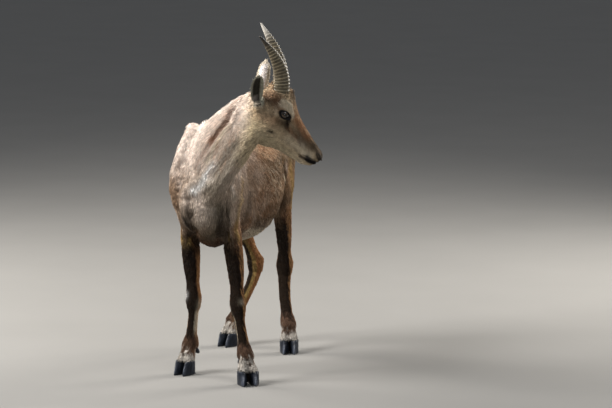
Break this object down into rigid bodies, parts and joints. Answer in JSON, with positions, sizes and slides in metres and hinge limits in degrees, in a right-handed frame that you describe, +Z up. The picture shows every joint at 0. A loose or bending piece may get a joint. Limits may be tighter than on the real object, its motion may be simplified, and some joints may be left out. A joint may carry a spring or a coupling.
{
  "type": "alpine ibex",
  "caption": "Life-size still model of a standing adult female alpine ibex with ridged back-curved horns, its head turned to its left.",
  "frame": {"origin": "on the floor under the middle of the whole model's box", "axes": "+Z up; the trunk lies along Y with the chest towards -Y, and the animal's left side is towards +X"},
  "size_m": [0.5016, 0.802, 1.0226],
  "materials": {
    "coat": "short matt fur, pale beige-grey and worn",
    "flank": "short matt fur, warm brown",
    "leg": "short matt fur, dark brown with paler edges",
    "tail": "longer dark hair in locks",
    "horn": "ringed horn, half matt",
    "hoof": "smooth dark slate horn, half matt",
    "eye": "wet and glossy",
    "bare_skin": "dark bare skin of the nose, lips and lids"
  },
  "bodies": {
    "root": {"head": "coat", "neck": "coat", "torso": "flank", "tail": "tail", "eye_right": "eye", "horn_right": "horn", "ear_right": "coat", "eye_left": "eye", "horn_left": "horn", "ear_left": "coat", "foreleg_right_upper": "leg", "foreleg_right_claw_outer": "hoof", "foreleg_right_dewclaw_outer": "hoof", "foreleg_right_claw_inner": "hoof", "foreleg_right_dewclaw_inner": "hoof", "foreleg_right_lower": "leg", "foreleg_left_upper": "leg", "foreleg_left_claw_outer": "hoof", "foreleg_left_dewclaw_outer": "hoof", "foreleg_left_claw_inner": "hoof", "foreleg_left_dewclaw_inner": "hoof", "foreleg_left_lower": "leg", "hindleg_right_upper": "leg", "hindleg_right_claw_outer": "hoof", "hindleg_right_dewclaw_outer": "hoof", "hindleg_right_claw_inner": "hoof", "hindleg_right_dewclaw_inner": "hoof", "hindleg_right_lower": "leg", "hindleg_left_upper": "leg", "hindleg_left_claw_outer": "hoof", "hindleg_left_dewclaw_outer": "hoof", "hindleg_left_claw_inner": "hoof", "hindleg_left_dewclaw_inner": "hoof", "hindleg_left_lower": "leg"}
  },
  "joints": []
}
